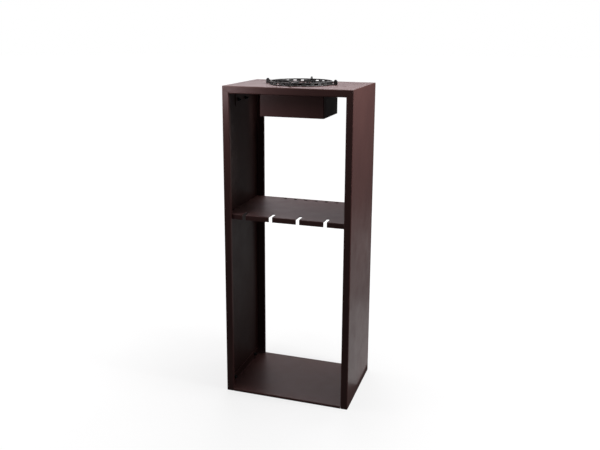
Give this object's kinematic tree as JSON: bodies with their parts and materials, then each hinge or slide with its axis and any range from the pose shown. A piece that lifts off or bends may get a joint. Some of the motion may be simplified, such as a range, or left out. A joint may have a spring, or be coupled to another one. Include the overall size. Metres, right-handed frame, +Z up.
{
  "type": "firewood rack with fondue top",
  "caption": "Tall narrow rack of folded sheet steel: open firewood bay, shelf slotted for hanging glasses and forks, and a flat top with a pot support over a burner housing.",
  "frame": {"origin": "on the floor at the middle of the footprint", "axes": "+Z up, +Y towards the rear, so the open front faces -Y; +X to the right seen from the front"},
  "size_m": [0.45, 0.322, 1.118],
  "materials": {
    "coated_steel": "satin dark maroon-brown powder coat",
    "dark_zinc": "black zinc plating",
    "black_iron": "matt black enamel",
    "stainless_steel": "brushed",
    "aluminium": "thin drawn",
    "beech": "oiled"
  },
  "bodies": {
    "carcass": {"left_side": "coated_steel", "right_side": "coated_steel", "top_panel": "coated_steel", "shelf": "coated_steel", "base_panel": "coated_steel", "left_bracket": "coated_steel", "right_bracket": "coated_steel", "left_side_studs": "dark_zinc", "right_side_studs": "dark_zinc", "top_studs": "dark_zinc", "bracket_nuts": "dark_zinc", "shelf_nuts": "dark_zinc", "base_nuts": "dark_zinc", "housing_nuts": "dark_zinc", "burner_housing": "coated_steel", "housing_floor": "coated_steel"},
    "pot_support": {"pot_support": "black_iron"},
    "burner": {"burner_body": "stainless_steel", "burner_handle": "stainless_steel", "fuel_tub": "aluminium"},
    "burner_cover": {"burner_cover": "stainless_steel", "pivot_eyelet": "stainless_steel"},
    "regulator": {"regulator": "stainless_steel", "regulator_knob": "beech"}
  },
  "joints": [
    {"name": "support_lift", "type": "slide", "parent": "carcass", "child": "pot_support", "axis": [0, 0, 1], "range_m": [0, 0.1]},
    {"name": "burner_slide", "type": "slide", "parent": "carcass", "child": "burner", "axis": [0, 1, 0], "range_m": [0, 0.24]},
    {"name": "cover_lift", "type": "slide", "parent": "burner", "child": "burner_cover", "axis": [0, 0, 1], "range_m": [0, 0.03]},
    {"name": "regulator_turn", "type": "hinge", "parent": "burner_cover", "child": "regulator", "pos_m": [0, 0, 1.045], "axis": [0, 0, 1], "range_deg": [0, 22.5]}
  ]
}
